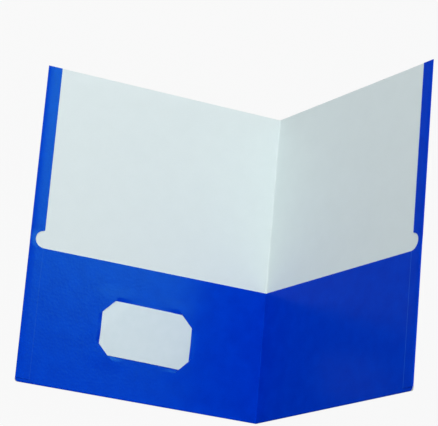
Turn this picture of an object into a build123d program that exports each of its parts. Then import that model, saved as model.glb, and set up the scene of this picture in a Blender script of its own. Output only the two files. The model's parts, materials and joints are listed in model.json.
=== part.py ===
"""Two-pocket folder: one sheet of coated card stock, folded and glued, with a card tucked in its left pocket.

Millimetres, +Z up. The left cover lies flat on its outside and the right cover stands up from the spine.
The origin is the middle of the left cover's outside face. Each half is drawn on the outside face of its
cover: distance out from the spine, height up from the bottom edge, and depth in towards the reader.
"""
import math
import os

from build123d import *

# Covers, pockets and glued strips
PANEL_WIDTH = 236.8        # from the start of the spine bend to the folded outer edge
COVER_HEIGHT = 294.0
POCKET_HEIGHT = 123.4
STRIP_WIDTH = 13.4         # hem above the pocket and seam flap over it
NOTCH_RADIUS = 8.0         # round notch in the strip, just above the pocket's mouth
NOTCH_DEPTH = 8.2
NOTCH_LAND = 1.0           # strip kept straight above and below the notch
CORNER_RELIEF = 3.0        # bottom fold stops this far from the outer corner
FLAP_LIFT = 3.5            # seam flap stops this far above the bottom edge
OPEN_ANGLE = 96.5          # between the two covers

# Card stock and what lies between its layers
SHEET = 0.35
GLUE = 0.10
GLUE_INSET = 2.0           # glue stays this far inside a strip's edges
POCKET_GAP = 0.50          # room behind an empty pocket
SHUT_GAP = 0.30            # between the facing layers of the shut folder
EDGE_LAND = 1.0            # flat sheet beside a folded edge
SPINE_LAND = 0.3           # flat sheet beside the spine bend
HINGE_GAP = 0.10           # between a pocket and its bottom fold
SIDE_GAP = 0.30            # between a pocket and its glued margin

# Card and the four corner slits that hold it
CARD_WIDTH = 88.9
CARD_HEIGHT = 50.8
CARD_THICKNESS = 0.30
CARD_CLEARANCE = 0.05      # in front of the card and behind it
CARD_TILT = 0.9            # degrees, outer end up
SLITS_FROM_SPINE = 116.1   # middle of the four slits
SLITS_ABOVE_BOTTOM = 61.6
CARD_SHIFT = -0.3          # card's middle from the slits' middle
CARD_RISE = 1.1
SLIT_LEG = 10.0            # card corner to slit, along the card's edge
SLIT_WIDTH = 0.3
TAB_ROOM = 2.0             # beyond the slits' own rectangle, for a card put in askew
TAB_RIM = 1.0              # sheet round that room, joined to the pocket

# Depths of the layers, from the outside of a cover
POCKET_BACK = SHEET + POCKET_GAP
POCKET_FRONT = POCKET_BACK + SHEET
SEAM_GLUE_BACK = POCKET_FRONT
SEAM_BACK = POCKET_FRONT + GLUE
SEAM_FRONT = SEAM_BACK + SHEET
HEM_BACK = SHEET + GLUE
HEM_FRONT = HEM_BACK + SHEET
CARD_BACK = POCKET_FRONT + CARD_CLEARANCE
TAB_BACK = CARD_BACK + CARD_THICKNESS + CARD_CLEARANCE
TAB_FRONT = TAB_BACK + SHEET

# Outside radius of each bend: a folded edge is as thick as the layers that it wraps
HEM_RADIUS = HEM_FRONT / 2
SEAM_RADIUS = SEAM_FRONT / 2
BOTTOM_RADIUS = POCKET_FRONT / 2
SPINE_RADIUS = (max(2 * SEAM_FRONT, TAB_FRONT + POCKET_FRONT) + SHUT_GAP) / 2

# Distances out from the spine, and heights up from the bottom edge
COVER_EDGE = PANEL_WIDTH - SEAM_RADIUS - EDGE_LAND
STRIP_EDGE = PANEL_WIDTH - STRIP_WIDTH
COVER_FOOT = BOTTOM_RADIUS + EDGE_LAND
NECK_FOOT = POCKET_HEIGHT - NOTCH_LAND
NECK_TOP = POCKET_HEIGHT + 2 * NOTCH_RADIUS + NOTCH_LAND

# The spine's bend turns about one line, and each half is drawn from the foot of that line
RAISE = 180 - OPEN_ANGLE
UP = math.sin(math.radians(RAISE))
ALONG = math.cos(math.radians(RAISE))
SPINE_X = PANEL_WIDTH / 2
BOTTOM_Y = -COVER_HEIGHT / 2
SPINE_AXIS = Axis((SPINE_X, BOTTOM_Y, SPINE_RADIUS), (0, -1, 0))
LEFT_FACE = Plane((SPINE_X, BOTTOM_Y, 0))
RIGHT_FACE = Plane(
    (SPINE_X + SPINE_RADIUS * UP, BOTTOM_Y, SPINE_RADIUS - SPINE_RADIUS * ALONG),
    x_dir=(ALONG, 0, UP),
    z_dir=(-UP, 0, ALONG),
)
HALVES = (("left", LEFT_FACE, -1), ("right", RIGHT_FACE, 1))


def outer_edge_plane(face, out, height):
    """Plane square to the outer edge: x runs in from the edge, y runs in from the outside."""
    return Plane(
        face.from_local_coords((out * PANEL_WIDTH, height, 0)),
        x_dir=face.x_dir * -out,
        z_dir=face.y_dir * out,
    )


def bottom_edge_plane(face):
    """Plane square to the bottom edge at the spine: x runs up from the edge, y runs in from the outside."""
    return Plane(face.origin, x_dir=face.y_dir, z_dir=face.x_dir)


def panel(out, near, far, foot, top):
    """Rectangle between two distances from the spine and two heights."""
    with Locations((out * (near + far) / 2, (foot + top) / 2)):
        Rectangle(far - near, top - foot)


def folded_edge(radius, back_leg, front_leg):
    """Outline of the sheet folded flat back on itself, with its two legs measured in from the edge."""
    with BuildLine() as outline:
        Line((back_leg, 0), (radius, 0))
        ThreePointArc((radius, 0), (0, radius), (radius, 2 * radius))
        Polyline(
            (radius, 2 * radius),
            (front_leg, 2 * radius),
            (front_leg, 2 * radius - SHEET),
            (radius, 2 * radius - SHEET),
        )
        ThreePointArc((radius, 2 * radius - SHEET), (SHEET, radius), (radius, SHEET))
        Polyline((radius, SHEET), (back_leg, SHEET), (back_leg, 0))
    make_face(outline.edges())


def export(piece, name):
    """Label one finished piece and write it under that name."""
    piece.part.label = name
    export_step(piece.part, f"parts/{name}.step")


os.makedirs("parts", exist_ok=True)

# Where the four corners of the slits' rectangle are: across, up, and which way the card lies from each
SLIT_CORNERS = [
    (-SLITS_FROM_SPINE + across * CARD_WIDTH / 2, SLITS_ABOVE_BOTTOM + up * CARD_HEIGHT / 2, -across, -up)
    for across in (-1, 1)
    for up in (-1, 1)
]

for side, face, out in HALVES:
    # Cover panel
    with BuildPart() as cover:
        with BuildSketch(face):
            panel(out, SPINE_LAND, COVER_EDGE, COVER_FOOT, COVER_HEIGHT)
        extrude(amount=SHEET)
    export(cover, f"{side}_cover")

    # Hem: the outer edge turned in and glued to the cover, from the notch to the top
    with BuildPart() as hem:
        with BuildSketch(outer_edge_plane(face, out, NECK_TOP)):
            folded_edge(HEM_RADIUS, PANEL_WIDTH - COVER_EDGE, STRIP_WIDTH)
        extrude(amount=out * (COVER_HEIGHT - NECK_TOP))
    export(hem, f"{side}_hem")

    # Neck beside the round notch, where the strip climbs from the cover onto the pocket
    with BuildPart() as neck:
        with BuildSketch(outer_edge_plane(face, out, NECK_FOOT)):
            folded_edge(SEAM_RADIUS, PANEL_WIDTH - COVER_EDGE, STRIP_WIDTH)
        with BuildSketch(outer_edge_plane(face, out, NECK_TOP)):
            folded_edge(HEM_RADIUS, PANEL_WIDTH - COVER_EDGE, STRIP_WIDTH)
        loft(ruled=True)
        with BuildSketch(face.offset(SHEET)):
            with Locations((out * (STRIP_EDGE + NOTCH_DEPTH - NOTCH_RADIUS), POCKET_HEIGHT + NOTCH_RADIUS)):
                Circle(NOTCH_RADIUS)
        extrude(amount=SEAM_FRONT, mode=Mode.SUBTRACT)
    export(neck, f"{side}_hem_neck")

    # Seam flap: the strip's lower end, glued over the pocket's outer margin
    with BuildPart() as flap:
        with BuildSketch(outer_edge_plane(face, out, FLAP_LIFT)):
            folded_edge(SEAM_RADIUS, PANEL_WIDTH - COVER_EDGE, STRIP_WIDTH)
        extrude(amount=out * (NECK_FOOT - FLAP_LIFT))
    export(flap, f"{side}_seam_flap")

    # Bottom fold that turns the sheet up into the pocket
    with BuildPart() as bottom_fold:
        with BuildSketch(bottom_edge_plane(face)):
            folded_edge(BOTTOM_RADIUS, COVER_FOOT, COVER_FOOT)
        extrude(amount=out * (PANEL_WIDTH - CORNER_RELIEF))
    export(bottom_fold, f"{side}_bottom_fold")

    # Margin of the pocket, held under the seam flap
    with BuildPart() as margin:
        with BuildSketch(face.offset(POCKET_BACK)):
            panel(out, STRIP_EDGE, PANEL_WIDTH - SEAM_RADIUS, COVER_FOOT, POCKET_HEIGHT)
        extrude(amount=SHEET)
    export(margin, f"{side}_pocket_margin")

    # Glue between the cover and the hem
    with BuildPart() as hem_glue:
        with BuildSketch(face.offset(SHEET)):
            panel(out, STRIP_EDGE + GLUE_INSET, COVER_EDGE, NECK_TOP + GLUE_INSET, COVER_HEIGHT - GLUE_INSET)
        extrude(amount=GLUE)
    export(hem_glue, f"{side}_hem_glue")

    # Glue between the pocket's margin and the seam flap
    with BuildPart() as seam_glue:
        with BuildSketch(face.offset(SEAM_GLUE_BACK)):
            panel(out, STRIP_EDGE + GLUE_INSET, COVER_EDGE, FLAP_LIFT + GLUE_INSET, NECK_FOOT - GLUE_INSET)
        extrude(amount=GLUE)
    export(seam_glue, f"{side}_seam_glue")

    # Pocket front, free to gape: the left one has the four slits for a card
    with BuildPart() as pocket:
        with BuildSketch(face.offset(POCKET_BACK)):
            panel(out, SPINE_LAND, STRIP_EDGE - SIDE_GAP, COVER_FOOT + HINGE_GAP, POCKET_HEIGHT)
            if side == "left":
                for x, y, inward, upward in SLIT_CORNERS:
                    with Locations((x + inward * SLIT_LEG / 2, y + upward * SLIT_LEG / 2)):
                        Rectangle(
                            math.sqrt(2) * (SLIT_LEG + TAB_ROOM),
                            SLIT_WIDTH,
                            rotation=-45 * inward * upward,
                            mode=Mode.SUBTRACT,
                        )
        extrude(amount=SHEET)
    export(pocket, f"{side}_pocket")

# Bend of the cover at the spine, with a short flat leg on each side
with BuildPart() as spine_fold:
    with BuildSketch(bottom_edge_plane(LEFT_FACE)):
        with Locations(((COVER_FOOT + COVER_HEIGHT) / 2, SHEET / 2)):
            Rectangle(COVER_HEIGHT - COVER_FOOT, SHEET)
    revolve(axis=SPINE_AXIS, revolution_arc=RAISE)
    for side, face, out in HALVES:
        with BuildSketch(face):
            panel(out, 0, SPINE_LAND, COVER_FOOT, COVER_HEIGHT)
        extrude(amount=SHEET)
export(spine_fold, "spine_fold")

# Bend of the pocket inside it
with BuildPart() as pocket_spine_fold:
    with BuildSketch(bottom_edge_plane(LEFT_FACE)):
        with Locations(((COVER_FOOT + POCKET_HEIGHT) / 2, POCKET_BACK + SHEET / 2)):
            Rectangle(POCKET_HEIGHT - COVER_FOOT, SHEET)
    revolve(axis=SPINE_AXIS, revolution_arc=RAISE)
    for side, face, out in HALVES:
        with BuildSketch(face.offset(POCKET_BACK)):
            panel(out, 0, SPINE_LAND, COVER_FOOT, POCKET_HEIGHT)
        extrude(amount=SHEET)
export(pocket_spine_fold, "pocket_spine_fold")

# Bottom fold carried round the spine's bend
with BuildPart() as spine_bottom_fold:
    with BuildSketch(bottom_edge_plane(LEFT_FACE)):
        folded_edge(BOTTOM_RADIUS, COVER_FOOT, COVER_FOOT)
    revolve(axis=SPINE_AXIS, revolution_arc=RAISE)
export(spine_bottom_fold, "spine_bottom_fold")

# Corner tabs: the pocket's sheet beyond each slit, raised over a corner of the card
with BuildPart() as card_corner_tabs:
    for x, y, inward, upward in SLIT_CORNERS:
        edge = TAB_ROOM + TAB_RIM
        with BuildSketch(LEFT_FACE.offset(POCKET_FRONT)):
            with BuildLine():
                Polyline(
                    (x - inward * edge, y - upward * edge),
                    (x + inward * (SLIT_LEG + edge), y - upward * edge),
                    (x - inward * edge, y + upward * (SLIT_LEG + edge)),
                    close=True,
                )
            make_face()
        extrude(amount=TAB_FRONT - POCKET_FRONT)
        with BuildSketch(LEFT_FACE.offset(POCKET_FRONT)):
            with Locations((x + inward * SLIT_LEG, y + upward * SLIT_LEG)):
                Rectangle(2 * (SLIT_LEG + TAB_ROOM), 2 * (SLIT_LEG + TAB_ROOM))
        extrude(amount=TAB_BACK - POCKET_FRONT, mode=Mode.SUBTRACT)
export(card_corner_tabs, "card_corner_tabs")

# Card in front of the left pocket, with its corners under the tabs
with BuildPart() as business_card:
    with BuildSketch(LEFT_FACE.offset(CARD_BACK)):
        with Locations((-SLITS_FROM_SPINE + CARD_SHIFT, SLITS_ABOVE_BOTTOM + CARD_RISE)):
            Rectangle(CARD_WIDTH, CARD_HEIGHT, rotation=-CARD_TILT)
    extrude(amount=CARD_THICKNESS)
export(business_card, "business_card")
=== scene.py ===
"""Looks of the two-pocket folder: a sheet of coated card stock, folded and glued, with a card in its pocket.

Metres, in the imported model's frame. Each half is laid out on its cover: out from the spine, up from the
bottom edge, and deep from the cover's outside face towards the reader.
"""
import json
import math

import bmesh
import bpy
from mathutils import Matrix, Vector
from mathutils.geometry import delaunay_2d_cdt, intersect_point_quad_2d


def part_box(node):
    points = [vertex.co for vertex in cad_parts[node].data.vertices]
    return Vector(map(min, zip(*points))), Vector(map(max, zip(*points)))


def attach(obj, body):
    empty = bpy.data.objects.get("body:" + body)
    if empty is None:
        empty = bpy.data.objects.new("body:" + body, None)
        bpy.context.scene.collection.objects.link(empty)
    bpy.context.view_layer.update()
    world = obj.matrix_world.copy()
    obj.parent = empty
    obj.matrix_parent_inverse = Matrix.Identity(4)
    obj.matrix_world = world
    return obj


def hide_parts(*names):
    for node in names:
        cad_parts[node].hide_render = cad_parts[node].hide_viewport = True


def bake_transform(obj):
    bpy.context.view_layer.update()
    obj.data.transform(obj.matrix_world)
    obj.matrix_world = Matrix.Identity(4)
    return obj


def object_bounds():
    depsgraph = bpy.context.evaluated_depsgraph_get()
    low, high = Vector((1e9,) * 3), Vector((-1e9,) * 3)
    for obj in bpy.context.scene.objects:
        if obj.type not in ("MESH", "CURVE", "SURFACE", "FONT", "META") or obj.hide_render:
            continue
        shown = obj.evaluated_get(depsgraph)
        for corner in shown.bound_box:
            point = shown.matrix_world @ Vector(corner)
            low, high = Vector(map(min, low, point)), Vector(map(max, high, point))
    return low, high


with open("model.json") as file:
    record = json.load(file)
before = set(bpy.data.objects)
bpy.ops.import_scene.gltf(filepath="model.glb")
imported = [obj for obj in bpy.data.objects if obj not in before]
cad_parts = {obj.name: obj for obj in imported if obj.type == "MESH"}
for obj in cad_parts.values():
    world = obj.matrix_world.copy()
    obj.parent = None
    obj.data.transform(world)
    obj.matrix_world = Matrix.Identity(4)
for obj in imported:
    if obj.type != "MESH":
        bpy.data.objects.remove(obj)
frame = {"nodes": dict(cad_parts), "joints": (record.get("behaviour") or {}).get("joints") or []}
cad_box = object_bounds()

MM = 0.001

# Where the spine's bend turns, and how far the right half stands up from flat, a half turn from shut
spine = next(joint for joint in frame["joints"] if joint["name"] == "spine")
SPINE_X, SPINE_Z = spine["pos_m"][0], spine["pos_m"][2]
RAISE = math.pi + math.radians(spine["range_deg"][0])
BOTTOM_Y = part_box("left_bottom_fold")[0].y


def reach(node):
    """Nearest and furthest out, up and deep of a node of the left half."""
    low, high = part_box(node)
    out = (SPINE_X - high.x, SPINE_X - low.x)
    return out, (low.y - BOTTOM_Y, high.y - BOTTOM_Y), (low.z, high.z)


# Sizes taken from the frame
(SPINE_LAND, COVER_EDGE), (COVER_FOOT, TOP), (_, SHEET) = reach("left_cover")
(STRIP_EDGE, EDGE), (NECK_TOP, _), (_, HEM_FRONT) = reach("left_hem")
_, (FLAP_FOOT, NECK_FOOT), (_, SEAM_FRONT) = reach("left_seam_flap")
(_, FOLD_END), _, _ = reach("left_bottom_fold")
_, (_, MOUTH), (POCKET_BACK, POCKET_FRONT) = reach("left_pocket")
(_, MARGIN_EDGE), _, _ = reach("left_pocket_margin")
TABS_OUT, TABS_UP, _ = reach("card_corner_tabs")
CARD_OUT, CARD_UP, (CARD_BACK, CARD_FRONT) = reach("business_card")

# Notch in the outer strips, with its two lips rounded where they meet the strip's edge
NOTCH_RADIUS = 8.0 * MM
NOTCH_DEPTH = 8.2 * MM
LIP_RADIUS = 1.2 * MM

# Card, slits, and the way the card's corners go down through the slits behind the pocket's sheet
CARD_WIDTH = 88.9 * MM
CARD_HEIGHT = 50.8 * MM
CARD_TILT = math.radians(0.9)
CARD_CROWN = 0.2 * MM
TAB_MARGIN = 3.0 * MM
SLIT_LEG = 10.0 * MM
SLIT_RUNOUT = 3.0 * MM
SLIT_WIDTH = 0.08 * MM
TAB_RISE = 0.19 * MM
TAB_SLOPE = 16.0 * MM
SHEET_DIP = 0.49 * MM
CARD_PRESS = 0.535 * MM
PRESS_EASE = 12.0 * MM

# Paler hairline along a cut edge, partly worn coat and partly a painted highlight on the edge, and how much
# of it the free edge of each outer strip shows; the right strip's is painted stronger, as more painted
# highlight
HAIRLINE = 0.45 * MM
HAIRLINE_FADE = 1.5 * HAIRLINE
STRIP_WEAR_AND_GLINT = {"left": 0.25, "right": 1.0}

# Steps of the meshes
BEND_STEPS = 8
NOTCH_STEPS = 14
LIP_STEPS = 4
CARD_COLUMNS = 48
CARD_COURSES = 28
LATTICE = 6.0 * MM
TAB_LATTICE = 1.6 * MM
SMOOTH_ANGLE = math.radians(35)

# Turns of the spine's bend, from the left half to the right one
SPINE_TURNS = [RAISE * step / BEND_STEPS for step in range(BEND_STEPS + 1)]


def smooth(share):
    """Ease from 0 to 1."""
    share = min(max(share, 0), 1)
    return share * share * (3 - 2 * share)


def left_point(out, up, deep):
    """A point of the left half in the frame."""
    return Vector((SPINE_X - out, BOTTOM_Y + up, deep))


def right_point(out, up, deep):
    """A point of the right half in the frame, turned up about the spine."""
    raised = Matrix.Rotation(-RAISE, 3, "Y") @ Vector((out, 0, deep - SPINE_Z))
    return raised + Vector((SPINE_X, BOTTOM_Y + up, SPINE_Z))


def spine_point(turn, up, deep):
    """A point of the spine's bend, from how far it has turned away from the left half."""
    arm = SPINE_Z - deep
    return Vector((SPINE_X + arm * math.sin(turn), BOTTOM_Y + up, SPINE_Z - arm * math.cos(turn)))


HALVES = (("left", left_point), ("right", right_point))


# Finishes

# Noise lies mostly between these two values, so a finish spreads its two colours over them
NOISE_SPAN = (0.3, 0.7)


def paint(code):
    """Linear colour of an sRGB hex code."""
    parts = [int(code[i:i + 2], 16) / 255 for i in (1, 3, 5)]
    return [c / 12.92 if c <= 0.04045 else ((c + 0.055) / 1.055) ** 2.4 for c in parts] + [1.0]


def add(tree, kind, settings, inputs):
    """Add a node with its settings, and link or set its inputs."""
    node = tree.nodes.new("ShaderNode" + kind)
    for name, value in settings.items():
        setattr(node, name, value)
    for name, value in inputs.items():
        if isinstance(value, bpy.types.NodeSocket):
            tree.links.new(value, node.inputs[name])
        else:
            node.inputs[name].default_value = value
    return node


def new_finish(name):
    """An empty material, with its node tree and the socket that its shader goes to."""
    finish = bpy.data.materials.new(name)
    finish.use_nodes = True
    tree = finish.node_tree
    tree.nodes.clear()
    output = add(tree, "OutputMaterial", {}, {})
    return finish, tree, output.inputs["Surface"]


def coated_blue_card_stock():
    """Card stock with a blue pigment coat, embossed with a fine grain and lightly calendered.

    The eye gets a deep even blue with a soft sheen, faint clouding where the fibres lie thicker, and a paler
    hairline along a cut edge, partly where the coat breaks and partly a painted highlight on the edge.
    """
    cloud_size = 14 * MM
    fibre_size = 1.1 * MM
    grain_size = 2.2 * MM      # real grain is about 0.4 mm, drawn coarser so that it shows
    grain_depth = 0.05 * MM
    fibre_share = 0.45
    wear_and_glint_share = 0.37
    finish, tree, surface = new_finish("coated_blue_card_stock")
    place = add(tree, "TexCoord", {}, {}).outputs["Object"]
    clouds = add(tree, "TexNoise", {}, {"Vector": place, "Scale": 1 / cloud_size, "Detail": 3.0})
    fibres = add(tree, "TexNoise", {}, {"Vector": place, "Scale": 1 / fibre_size, "Detail": 2.0})
    grain = add(tree, "TexVoronoi", {"feature": "SMOOTH_F1"}, {"Vector": place, "Scale": 1 / grain_size})
    thickness = add(tree, "Mix", {"data_type": "FLOAT"}, {
        "Factor": fibre_share, "A": clouds.outputs["Fac"], "B": fibres.outputs["Fac"]})
    blue = add(tree, "ValToRGB", {}, {"Fac": thickness.outputs["Result"]})
    for stop, position, code in zip(blue.color_ramp.elements, NOISE_SPAN, ("#0033C1", "#003ED0")):
        stop.position = position
        stop.color = paint(code)
    # Paler blue along cut edges: partly worn coat, partly a painted highlight standing in for light caught
    # by the edge
    wear_and_glint = add(tree, "Attribute", {"attribute_name": "wear_and_glint"}, {})
    paler = add(tree, "Math", {"operation": "MULTIPLY"}, {0: wear_and_glint.outputs["Fac"], 1: wear_and_glint_share})
    colour = add(tree, "MixRGB", {}, {
        "Fac": paler.outputs["Value"], "Color1": blue.outputs["Color"], "Color2": paint("#4A8CE6")})
    rough = add(tree, "MapRange", {}, {"Value": fibres.outputs["Fac"], "To Min": 0.2, "To Max": 0.28})
    emboss = add(tree, "Bump", {}, {
        "Strength": 1.0, "Distance": grain_depth, "Height": grain.outputs["Distance"]})
    coat = add(tree, "BsdfPrincipled", {}, {
        "Base Color": colour.outputs["Color"], "Roughness": rough.outputs["Result"],
        "Normal": emboss.outputs["Normal"], "IOR": 1.5, "Specular IOR Level": 0.03,
        "Specular Tint": paint("#50FFDA")})
    tree.links.new(coat.outputs["BSDF"], surface)
    return finish


def plain_white_card_stock():
    """The same stock's uncoated inside.

    The eye gets a cool matt white with the soft mottle of pressed wood fibres and no shine.
    """
    cloud_size = 18 * MM
    fibre_size = 0.8 * MM
    fibre_depth = 0.015 * MM
    fibre_share = 0.5
    finish, tree, surface = new_finish("plain_white_card_stock")
    place = add(tree, "TexCoord", {}, {}).outputs["Object"]
    clouds = add(tree, "TexNoise", {}, {"Vector": place, "Scale": 1 / cloud_size, "Detail": 4.0})
    fibres = add(tree, "TexNoise", {}, {"Vector": place, "Scale": 1 / fibre_size, "Detail": 3.0})
    mottle = add(tree, "Mix", {"data_type": "FLOAT"}, {
        "Factor": fibre_share, "A": clouds.outputs["Fac"], "B": fibres.outputs["Fac"]})
    white = add(tree, "ValToRGB", {}, {"Fac": mottle.outputs["Result"]})
    for stop, position, code in zip(white.color_ramp.elements, NOISE_SPAN, ("#DAE6E7", "#DEEAEB")):
        stop.position = position
        stop.color = paint(code)
    rough = add(tree, "MapRange", {}, {"Value": fibres.outputs["Fac"], "To Min": 0.78, "To Max": 0.9})
    tooth = add(tree, "Bump", {}, {
        "Strength": 0.3, "Distance": fibre_depth, "Height": fibres.outputs["Fac"]})
    paper = add(tree, "BsdfPrincipled", {}, {
        "Base Color": white.outputs["Color"], "Roughness": rough.outputs["Result"],
        "Normal": tooth.outputs["Normal"], "IOR": 1.5, "Specular IOR Level": 0.2})
    tree.links.new(paper.outputs["BSDF"], surface)
    return finish


def die_cut_edge():
    """The stock's raw core where a die has cut it.

    The eye gets a thin pale line, a little fuzzy and unevenly grey where fibres stand out of the cut.
    """
    fibre_size = 0.5 * MM
    fibre_depth = 0.03 * MM
    finish, tree, surface = new_finish("die_cut_edge")
    place = add(tree, "TexCoord", {}, {}).outputs["Object"]
    fibres = add(tree, "TexNoise", {}, {"Vector": place, "Scale": 1 / fibre_size, "Detail": 3.0})
    core = add(tree, "ValToRGB", {}, {"Fac": fibres.outputs["Fac"]})
    for stop, position, code in zip(core.color_ramp.elements, NOISE_SPAN, ("#CBD5DA", "#E4EBEE")):
        stop.position = position
        stop.color = paint(code)
    fuzz = add(tree, "Bump", {}, {"Strength": 0.5, "Distance": fibre_depth, "Height": fibres.outputs["Fac"]})
    edge = add(tree, "BsdfPrincipled", {}, {
        "Base Color": core.outputs["Color"], "Normal": fuzz.outputs["Normal"], "Roughness": 0.9,
        "IOR": 1.5, "Specular IOR Level": 0.2})
    tree.links.new(edge.outputs["BSDF"], surface)
    return finish


def smooth_white_card():
    """Uncoated bristol card, pressed smoother than the folder's inside.

    The eye gets a faintly blue white with very little mottle and the slightest sheen.
    """
    cloud_size = 9 * MM
    fibre_size = 0.6 * MM
    fibre_depth = 0.008 * MM
    finish, tree, surface = new_finish("smooth_white_card")
    place = add(tree, "TexCoord", {}, {}).outputs["Object"]
    clouds = add(tree, "TexNoise", {}, {"Vector": place, "Scale": 1 / cloud_size, "Detail": 3.0})
    fibres = add(tree, "TexNoise", {}, {"Vector": place, "Scale": 1 / fibre_size, "Detail": 2.0})
    white = add(tree, "ValToRGB", {}, {"Fac": clouds.outputs["Fac"]})
    for stop, position, code in zip(white.color_ramp.elements, NOISE_SPAN, ("#CFE0E5", "#D3E3E8")):
        stop.position = position
        stop.color = paint(code)
    rough = add(tree, "MapRange", {}, {"Value": fibres.outputs["Fac"], "To Min": 0.6, "To Max": 0.7})
    tooth = add(tree, "Bump", {}, {
        "Strength": 0.25, "Distance": fibre_depth, "Height": fibres.outputs["Fac"]})
    paper = add(tree, "BsdfPrincipled", {}, {
        "Base Color": white.outputs["Color"], "Roughness": rough.outputs["Result"],
        "Normal": tooth.outputs["Normal"], "IOR": 1.5, "Specular IOR Level": 0.25})
    tree.links.new(paper.outputs["BSDF"], surface)
    return finish


def dried_paste_glue():
    """Paste spread thin and dried between two layers of stock.

    The eye gets a yellowish film, streaked by the roller and a little glossy, at the very edge of a strip.
    """
    streak_size = 3 * MM
    finish, tree, surface = new_finish("dried_paste_glue")
    place = add(tree, "TexCoord", {}, {}).outputs["Object"]
    streaks = add(tree, "TexNoise", {}, {"Vector": place, "Scale": 1 / streak_size, "Detail": 2.0})
    film = add(tree, "ValToRGB", {}, {"Fac": streaks.outputs["Fac"]})
    for stop, code in zip(film.color_ramp.elements, ("#D9D2B8", "#EFEBDD")):
        stop.color = paint(code)
    rough = add(tree, "MapRange", {}, {"Value": streaks.outputs["Fac"], "To Min": 0.3, "To Max": 0.5})
    paste = add(tree, "BsdfPrincipled", {}, {
        "Base Color": film.outputs["Color"], "Roughness": rough.outputs["Result"], "IOR": 1.47})
    tree.links.new(paste.outputs["BSDF"], surface)
    return finish


# Finishes of a piece of stock, by their places: its printed face, its plain face and its cut edge
PRINTED, PLAIN, CUT = range(3)
STOCK = (coated_blue_card_stock(), plain_white_card_stock(), die_cut_edge())
CARD_STOCK = (smooth_white_card(),) * 3
GLUE = dried_paste_glue()


# Sheets


def sheet(name, place, pairs, faces, wear_and_glint, finishes, coated_to=-math.inf):
    """One piece of stock, from matching points on its two faces and the faces of its blank.

    Each pair is a point on the printed face and one on the plain face. The rim between them is cut edge, and
    up to the height coated_to the die has rolled the coat over it.
    """
    count = len(pairs)
    corners = [place(*printed) for printed, _ in pairs] + [place(*plain) for _, plain in pairs]
    steps = {(a, b) for face in faces for a, b in zip(face, face[1:] + face[:1])}
    rim = sorted((a, b) for a, b in steps if (b, a) not in steps)
    back = [tuple(i + count for i in reversed(face)) for face in faces]
    walls = [(b, a, a + count, b + count) for a, b in rim]
    mesh = bpy.data.meshes.new(name)
    mesh.from_pydata(corners, [], [*faces, *back, *walls])
    finish_of = [PRINTED] * len(faces) + [PLAIN] * len(back)
    finish_of += [PRINTED if max(pairs[a][0][1], pairs[b][0][1]) < coated_to else CUT for a, b in rim]
    mesh.polygons.foreach_set("material_index", finish_of)
    for finish in finishes:
        mesh.materials.append(finish)
    # Share of the paler hairline at each point: partly worn coat, partly painted edge highlight
    mesh.attributes.new("wear_and_glint", "FLOAT", "POINT").data.foreach_set("value", [*wear_and_glint, *([0.0] * count)])
    shell = bmesh.new()
    shell.from_mesh(mesh)
    bmesh.ops.recalc_face_normals(shell, faces=shell.faces)
    shell.to_mesh(mesh)
    shell.free()
    mesh.shade_smooth()
    mesh.set_sharp_from_angle(angle=SMOOTH_ANGLE)
    piece = bpy.data.objects.new(name, mesh)
    bpy.context.scene.collection.objects.link(piece)
    return piece


def loft(rows):
    """The pairs and four-sided faces of a sheet given as rows of stations."""
    wide = len(rows[0])
    pairs = [pair for row in rows for pair in row]
    starts = [row * wide + station for row in range(len(rows) - 1) for station in range(wide - 1)]
    faces = [(start, start + 1, start + 1 + wide, start + wide) for start in starts]
    return pairs, faces


def cut_blank(outline, slots, lines, inner):
    """The points and triangles of a flat blank, with slots cut out and lines kept as edges."""
    inside_only, weld = 1, 1e-8
    points, edges = [], []
    for ring in (outline, *slots):
        first = len(points)
        points += ring
        edges += [(first + i, first + (i + 1) % len(ring)) for i in range(len(ring))]
    for line in lines:
        first = len(points)
        points += line
        edges += [(first + i, first + i + 1) for i in range(len(line) - 1)]
    points += inner
    corners, _, triangles, *_ = delaunay_2d_cdt([Vector(p) for p in points], edges, [], inside_only, weld)
    gaps = [(ring[0], ring[len(ring) // 2 - 1], ring[len(ring) // 2], ring[-1]) for ring in slots]

    def kept(face):
        """Whether a triangle of the blank is outside every slot."""
        middle = sum((corners[i] for i in face), Vector((0, 0))) / len(face)
        return not any(intersect_point_quad_2d(middle, *map(Vector, gap)) for gap in gaps)

    return [tuple(p) for p in corners], [tuple(face) for face in triangles if kept(face)]


def flat_sheet(points, printed_deep, plain_deep):
    """Pairs of a flat blank, between two depths."""
    return [((out, up, printed_deep), (out, up, plain_deep)) for out, up in points]


def folded_edge(radius, front_leg, back_end):
    """Stations of the sheet folded flat back on itself, as pairs of inset from the edge and depth.

    The front leg is a list of insets, from its free end to the bend.
    """
    stations = [((inset, 2 * radius), (inset, 2 * radius - SHEET)) for inset in front_leg]
    inner = radius - SHEET
    for step in range(BEND_STEPS + 1):
        turn = math.pi * step / BEND_STEPS
        sine, cosine = math.sin(turn), math.cos(turn)
        stations.append((
            (radius - radius * sine, radius + radius * cosine),
            (radius - inner * sine, radius + inner * cosine)))
    return [*stations, ((back_end, 0), (back_end, SHEET))]


def dress(piece, body, slot, *nodes):
    """Put a finished piece in place of its nodes, and on its body if it has one."""
    if body:
        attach(piece, body)
    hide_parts(*nodes)


# Outer corner of the blank, rounded between the bottom fold and the seam flap

CORNER_RADIUS = EDGE - FOLD_END
OUTER_CORNER = [
    (FOLD_END + CORNER_RADIUS * math.sin(turn), CORNER_RADIUS - CORNER_RADIUS * math.cos(turn))
    for turn in (math.pi / 2 * step / BEND_STEPS for step in range(BEND_STEPS + 1))
]


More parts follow.
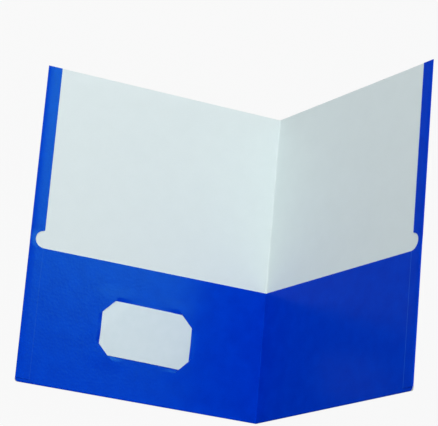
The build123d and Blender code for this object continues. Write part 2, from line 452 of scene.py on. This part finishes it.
def cover(side, place):
    """Cover panel, blue outside and white inside."""
    near_top = TOP - HAIRLINE
    outline = [
        (SPINE_LAND, COVER_FOOT), (FOLD_END, COVER_FOOT), *OUTER_CORNER, (EDGE, FLAP_FOOT),
        (COVER_EDGE, FLAP_FOOT), (COVER_EDGE, near_top), (COVER_EDGE, TOP),
        (SPINE_LAND, TOP), (SPINE_LAND, near_top)]
    points, faces = cut_blank(outline, [], [[(SPINE_LAND, near_top), (COVER_EDGE, near_top)]], [])
    # Paler hairline along the top edge: partly worn coat, partly painted edge highlight
    wear_and_glint = [float(up > near_top + HAIRLINE / 2) for _, up in points]
    piece = sheet(f"{side}_cover_panel", place, flat_sheet(points, 0, SHEET), faces, wear_and_glint, STOCK)
    dress(piece, f"{side}_half", "folder_sheet", f"{side}_cover")


def pocket_margin(side, place):
    """Outer margin of the pocket, held under the seam flap."""
    outline = [
        (STRIP_EDGE, COVER_FOOT), (FOLD_END, COVER_FOOT), *OUTER_CORNER, (EDGE, FLAP_FOOT),
        (MARGIN_EDGE, FLAP_FOOT), (MARGIN_EDGE, MOUTH), (STRIP_EDGE, MOUTH)]
    points, faces = cut_blank(outline, [], [], [])
    pairs = flat_sheet(points, POCKET_FRONT, POCKET_BACK)
    piece = sheet(f"{side}_pocket_side", place, pairs, faces, [0.0] * len(points), STOCK)
    dress(piece, f"{side}_half", "folder_sheet", f"{side}_pocket_margin")


def strip_edge_rows():
    """Heights and inner edges of an outer strip, from the flap's foot, round the notch and up to the top."""
    middle_out = STRIP_EDGE + NOTCH_DEPTH - NOTCH_RADIUS
    middle_up = MOUTH + NOTCH_RADIUS
    widest = math.acos((STRIP_EDGE + LIP_RADIUS - middle_out) / NOTCH_RADIUS)
    turns = [widest * step / NOTCH_STEPS for step in range(-NOTCH_STEPS, NOTCH_STEPS + 1)]
    notch = [
        (middle_up + NOTCH_RADIUS * math.sin(turn), middle_out + NOTCH_RADIUS * math.cos(turn))
        for turn in turns]
    lip = []
    for step in range(1, LIP_STEPS + 1):
        turn = math.pi / 2 * step / LIP_STEPS
        lip.append((LIP_RADIUS * (1 - math.cos(turn)), STRIP_EDGE + LIP_RADIUS * (1 - math.sin(turn))))
    below = [(notch[0][0] - rise, out) for rise, out in reversed(lip)]
    above = [(notch[-1][0] + rise, out) for rise, out in lip]
    foot = [(FLAP_FOOT, STRIP_EDGE), (FLAP_FOOT + HAIRLINE, STRIP_EDGE)]
    head = [(TOP - HAIRLINE, STRIP_EDGE), (TOP, STRIP_EDGE)]
    return [*foot, *below, *notch, *above, *head]


def outer_strip(side, place):
    """Outer edge turned in: seam flap over the pocket, neck beside the notch, and hem up to the top."""
    hairline_stations = 2
    rows, wear_and_glint = [], []
    for up, inner_edge in strip_edge_rows():
        climb = smooth((up - NECK_FOOT) / (NECK_TOP - NECK_FOOT))
        radius = (SEAM_FRONT + (HEM_FRONT - SEAM_FRONT) * climb) / 2
        free_end = EDGE - inner_edge
        front_leg = [free_end, free_end - HAIRLINE, free_end - HAIRLINE_FADE, (free_end + radius) / 2]
        stations = folded_edge(radius, front_leg, EDGE - COVER_EDGE)
        rows.append([tuple((EDGE - inset, up, deep) for inset, deep in pair) for pair in stations])
        # Paler hairline along the free edge: partly worn coat, partly painted edge highlight, painted
        # stronger on the right strip
        wear_and_glint += [STRIP_WEAR_AND_GLINT[side]] * hairline_stations + [0.0] * (len(stations) - hairline_stations)
    pairs, faces = loft(rows)
    piece = sheet(f"{side}_outer_strip", place, pairs, faces, wear_and_glint, STOCK, FLAP_FOOT + HAIRLINE / 2)
    dress(piece, f"{side}_half", "folder_sheet", f"{side}_hem", f"{side}_hem_neck", f"{side}_seam_flap")


def bottom_fold(side, place):
    """Bottom edge, where the sheet turns up into the pocket."""
    stations = folded_edge(POCKET_FRONT / 2, [COVER_FOOT], COVER_FOOT)
    outs = (0, FOLD_END / 2, FOLD_END)
    rows = [[tuple((out, up, deep) for up, deep in pair) for pair in stations] for out in outs]
    pairs, faces = loft(rows)
    piece = sheet(f"{side}_bottom_edge", place, pairs, faces, [0.0] * len(pairs), STOCK)
    dress(piece, f"{side}_half", "folder_sheet", f"{side}_bottom_fold")


# Card slits in the left pocket: each corner's place, and which way the card lies from it

SLITS_OUT = (TABS_OUT[0] + TAB_MARGIN, TABS_OUT[1] - TAB_MARGIN)
SLITS_UP = (TABS_UP[0] + TAB_MARGIN, TABS_UP[1] - TAB_MARGIN)
SLIT_CORNERS = [
    (SLITS_OUT[far], SLITS_UP[high], 1 - 2 * far, 1 - 2 * high) for far in (0, 1) for high in (0, 1)]
SLIT_HALF = (SLIT_LEG / 2 + SLIT_RUNOUT) * math.sqrt(2)


def from_slit(corner, along, beyond):
    """Blank point from its place along a slit and its distance past it towards the card's corner."""
    out, up, inward, upward = corner
    sideways = (SLIT_LEG + along * math.sqrt(2) - beyond * math.sqrt(2)) / 2
    upwards = (SLIT_LEG - along * math.sqrt(2) - beyond * math.sqrt(2)) / 2
    return (out + sideways * inward, up + upwards * upward)


def past_slit(corner, out, up):
    """How far a blank point is past a slit, towards the card's corner."""
    corner_out, corner_up, inward, upward = corner
    return (SLIT_LEG - (out - corner_out) * inward - (up - corner_up) * upward) / math.sqrt(2)


def off_card(out, up):
    """How far a blank point is outside the card's edges."""
    x, y = out - sum(CARD_OUT) / 2, up - sum(CARD_UP) / 2
    wide = abs(x * math.cos(CARD_TILT) + y * math.sin(CARD_TILT)) - CARD_WIDTH / 2
    high = abs(y * math.cos(CARD_TILT) - x * math.sin(CARD_TILT)) - CARD_HEIGHT / 2
    return math.hypot(max(wide, 0), max(high, 0))


def pressed(beyond):
    """How much of the way back through a slit the card has gone, at a distance past it."""
    return 1 - smooth(-beyond / PRESS_EASE)


def sheet_shift(out, up):
    """How far the pocket's sheet leaves its plane: out over the card's corners, and back under the card."""
    off = off_card(out, up)
    under = 1 - smooth(off / SLIT_RUNOUT)
    shift = 0
    for corner in SLIT_CORNERS:
        beyond = past_slit(corner, out, up)
        shift += TAB_RISE * (1 - smooth(math.hypot(off, max(-beyond, 0)) / TAB_SLOPE))
        if beyond < -SLIT_WIDTH / 2:
            shift -= (TAB_RISE + SHEET_DIP) * pressed(beyond + SLIT_WIDTH) * under
    return shift


def slit_ring(corner):
    """Outline of one slit, tab side first."""
    count = round(2 * SLIT_HALF / TAB_LATTICE)
    places = [SLIT_HALF * (2 * step / count - 1) for step in range(count + 1)]
    tab_side = [from_slit(corner, along, 0) for along in places]
    card_side = [from_slit(corner, along, -SLIT_WIDTH) for along in reversed(places)]
    return tab_side + card_side


def steps_between(low, high, pitch):
    """Even steps from low to high, both included."""
    count = math.ceil((high - low) / pitch)
    return [low + (high - low) * step / count for step in range(count + 1)]


def lattice(low, high, foot, top, pitch):
    """Even points inside a rectangle of the blank."""
    outs, ups = steps_between(low, high, pitch)[1:-1], steps_between(foot, top, pitch)[1:-1]
    return [(out, up) for out in outs for up in ups]


def pocket_part(name, place, near, far, corners, half, front, *nodes):
    """One side of a pocket's front, with slits for the card's corners where it has them."""
    low, high = sorted((near, far))
    near_mouth = MOUTH - HAIRLINE
    outs = steps_between(low, high, LATTICE)
    mouth_line = [(out, near_mouth) for out in outs]
    mouth_edge = [(out, MOUTH) for out in reversed(outs)]
    outline = [(low, COVER_FOOT), (high, COVER_FOOT), (high, near_mouth), *mouth_edge, (low, near_mouth)]
    slits = [slit_ring(corner) for corner in corners]
    cuts = [point for ring in slits for point in ring]
    inner = lattice(low, high, COVER_FOOT, near_mouth, LATTICE)
    if corners:
        fine = lattice(low, high, COVER_FOOT, near_mouth, TAB_LATTICE)
        inner = [p for p in inner if not sheet_shift(*p)] + [
            p for p in fine
            if sheet_shift(*p) and all(math.dist(p, cut) > TAB_LATTICE / 2 for cut in cuts)]
    points, faces = cut_blank(outline, slits, [mouth_line], inner)
    pairs = []
    for out, up in points:
        shift = sheet_shift(out, up) if corners else 0
        pairs.append(((out, up, POCKET_FRONT + shift), (out, up, POCKET_BACK + shift)))
    # Paler hairline along the mouth: partly worn coat, partly painted edge highlight
    wear_and_glint = [float(up > near_mouth + HAIRLINE / 2) for _, up in points]
    piece = sheet(name, place, pairs, faces, wear_and_glint, STOCK, near_mouth)
    dress(piece, None, "folder_sheet", *nodes)

    # Where it is held, and where the nearer tabs begin
    held, free = place(near, 0, POCKET_FRONT), place(TABS_OUT[int(near > far)], 0, POCKET_FRONT)
    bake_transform(piece)


def pocket_front(side, place):
    """Pocket front in two parts, one held at the spine and one at the seam flap."""
    middle = sum(SLITS_OUT) / 2
    slitted = side == "left"
    nodes = ["left_pocket", "card_corner_tabs"] if slitted else ["right_pocket"]
    inner_corners, outer_corners = (SLIT_CORNERS[:2], SLIT_CORNERS[2:]) if slitted else ([], [])
    half, front = f"{side}_half", f"{side}_pocket_front"
    pocket_part(f"{side}_pocket_spine_side", place, SPINE_LAND, middle, inner_corners, half, front, *nodes)
    pocket_part(f"{side}_pocket_outer_side", place, STRIP_EDGE, middle, outer_corners, half, front, *nodes)


def spine_rows(ups, deeps):
    """Rows of the spine's bend at these heights, with its short flat legs."""
    rows = []
    for up in ups:
        near = tuple(left_point(SPINE_LAND, up, deep) for deep in deeps)
        bend = [tuple(spine_point(turn, up, deep) for deep in deeps) for turn in SPINE_TURNS]
        far = tuple(right_point(SPINE_LAND, up, deep) for deep in deeps)
        rows.append([near, *bend, far])
    return rows


def spine_piece(name, rows, top_wear_and_glint, node):
    """One layer of the spine's bend, at the covers' open angle."""
    pairs, faces = loft(rows)
    # Paler hairline along the top row: partly worn coat, partly painted edge highlight
    wear_and_glint = [float(top_wear_and_glint and row == len(rows) - 1) for row in range(len(rows)) for _ in rows[0]]
    piece = sheet(name, lambda *point: Vector(point), pairs, faces, wear_and_glint, STOCK)
    dress(piece, None, "folder_sheet", node)
    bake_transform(piece)


def spine_folds():
    """The spine's bend in the cover, in the pocket, and round the bottom edge."""
    cover_rows = spine_rows((COVER_FOOT, TOP - HAIRLINE, TOP), (0, SHEET))
    spine_piece("spine_crease", cover_rows, True, "spine_fold")
    pocket_rows = spine_rows((COVER_FOOT, MOUTH - HAIRLINE, MOUTH), (POCKET_FRONT, POCKET_BACK))
    spine_piece("pocket_crease", pocket_rows, True, "pocket_spine_fold")
    stations = folded_edge(POCKET_FRONT / 2, [COVER_FOOT], COVER_FOOT)
    bottom_rows = [
        [tuple(spine_point(turn, *point) for point in pair) for pair in stations] for turn in SPINE_TURNS]
    spine_piece("spine_bottom_corner", bottom_rows, False, "spine_bottom_fold")


def blank_card():
    """The card, crowned a little between the four corners that go down through the slits."""
    middle_out, middle_up = sum(CARD_OUT) / 2, sum(CARD_UP) / 2
    sine, cosine = math.sin(CARD_TILT), math.cos(CARD_TILT)
    rows = []
    for course in range(CARD_COURSES + 1):
        high = 2 * course / CARD_COURSES - 1
        row = []
        for column in range(CARD_COLUMNS + 1):
            wide = 2 * column / CARD_COLUMNS - 1
            x, y = wide * CARD_WIDTH / 2, high * CARD_HEIGHT / 2
            out, up = middle_out + x * cosine - y * sine, middle_up + x * sine + y * cosine
            held = max(pressed(past_slit(corner, out, up)) for corner in SLIT_CORNERS)
            bend = CARD_CROWN * (1 - wide * wide) * (1 - high * high) - CARD_PRESS * held
            row.append(((out, up, CARD_FRONT + bend), (out, up, CARD_BACK + bend)))
        rows.append(row)
    pairs, faces = loft(rows)
    piece = sheet("blank_card", left_point, pairs, faces, [0.0] * len(pairs), CARD_STOCK)
    dress(piece, "card", "card_paper", "business_card")


def glue_films(side):
    """Glue under the outer strip, which keeps its solids and takes the paste's finish."""
    for film in (f"{side}_hem_glue", f"{side}_seam_glue"):
        finishes = frame["nodes"][film].data.materials
        finishes.clear()
        finishes.append(GLUE)


for side, place in HALVES:
    cover(side, place)
    outer_strip(side, place)
    bottom_fold(side, place)
    pocket_margin(side, place)
    pocket_front(side, place)
    glue_films(side)
spine_folds()
blank_card()


# Stage


def looked_at(tree):
    """A socket that is 1 where the camera looks, also by way of gloss or glass, and 0 for other light."""
    rays = add(tree, "LightPath", {}, {})
    looked = add(tree, "Math", {"operation": "MAXIMUM"}, {
        0: rays.outputs["Is Camera Ray"], 1: rays.outputs["Is Glossy Ray"]})
    looked = add(tree, "Math", {"operation": "MAXIMUM"}, {
        0: looked.outputs["Value"], 1: rays.outputs["Is Transmission Ray"]})
    return looked.outputs["Value"]


def pale_floor():
    """Plain pale floor a hair under the folder, nearly white where it is looked at, with a soft shadow."""
    size = 12.0
    drop = 0.3 * MM
    white_share = 0.92
    mesh = bpy.data.meshes.new("floor")
    corners = [(-size, -size, -drop), (size, -size, -drop), (size, size, -drop), (-size, size, -drop)]
    mesh.from_pydata(corners, [], [(0, 1, 2, 3)])
    finish, tree, surface = new_finish("pale_floor")
    share = add(tree, "Math", {"operation": "MULTIPLY"}, {0: looked_at(tree), 1: white_share})
    matt = add(tree, "BsdfDiffuse", {}, {"Color": paint("#959697")})
    white = add(tree, "Emission", {}, {"Color": paint("#FFFFFF"), "Strength": 1.0})
    mixed = add(tree, "MixShader", {}, {
        0: share.outputs["Value"], 1: matt.outputs["BSDF"], 2: white.outputs["Emission"]})
    tree.links.new(mixed.outputs["Shader"], surface)
    mesh.materials.append(finish)
    floor = bpy.data.objects.new("floor", mesh)
    bpy.context.scene.collection.objects.link(floor)


def soft_world(strength):
    """Even light from all round, and plain white where it is looked at past the floor."""
    world = bpy.data.worlds.new("soft_studio")
    bpy.context.scene.world = world
    world.use_nodes = True
    tree = world.node_tree
    tree.nodes.clear()
    output = add(tree, "OutputWorld", {}, {})
    level = add(tree, "MapRange", {}, {"Value": looked_at(tree), "To Min": strength, "To Max": 1.0})
    sky = add(tree, "Background", {}, {"Color": paint("#FFFFFF"), "Strength": level.outputs["Result"]})
    tree.links.new(sky.outputs["Background"], output.inputs["Surface"])


def soft_box(name, place, size, power):
    """Square area lamp aimed at the folder's middle."""
    lamp = bpy.data.lights.new(name, "AREA")
    lamp.size = size
    lamp.energy = power
    light = bpy.data.objects.new(name, lamp)
    light.location = place
    light.rotation_euler = (sum(cad_box, Vector()) / 2 - Vector(place)).to_track_quat("-Z", "Y").to_euler()
    bpy.context.scene.collection.objects.link(light)
    return light


def photo_camera():
    """Camera at the photograph's angle, rolled a little from the folder's upright."""
    place = Vector((-0.8132, -0.5595, 1.9009))
    aim = Vector((0.0643, 0.0439, 0))
    roll = math.radians(4.97)
    back = (place - aim).normalized()
    side = Vector((0, 1, 0)).cross(back).normalized()
    upright = Matrix((side, back.cross(side), back)).transposed()
    camera = bpy.data.objects.new("camera", bpy.data.cameras.new("camera"))
    camera.matrix_world = Matrix.Translation(place) @ (upright @ Matrix.Rotation(roll, 3, "Z")).to_4x4()
    camera.data.sensor_width = 36
    camera.data.lens = 192.67
    camera.data.clip_end = 50
    bpy.context.scene.collection.objects.link(camera)
    bpy.context.scene.camera = camera


pale_floor()
soft_world(strength=0.38)
soft_box("over_box", place=(-0.2, 0.2, 2.6), size=1.4, power=18.8)
soft_box("head_box", place=(-0.8, 0.9, 1.0), size=0.8, power=10.9)

# Lights the outside of the right half, which keeps it off the inside
soft_box("back_box", place=(1.7, -0.1, 0.7), size=0.8, power=10)

# Draws the coat's sheen, as only reflections see it
sheen_card = soft_box("sheen_card", place=(0.78, 0.9, 1.9), size=0.75, power=74)
sheen_card.visible_diffuse = False

photo_camera()
bpy.context.scene.view_settings.view_transform = "Standard"
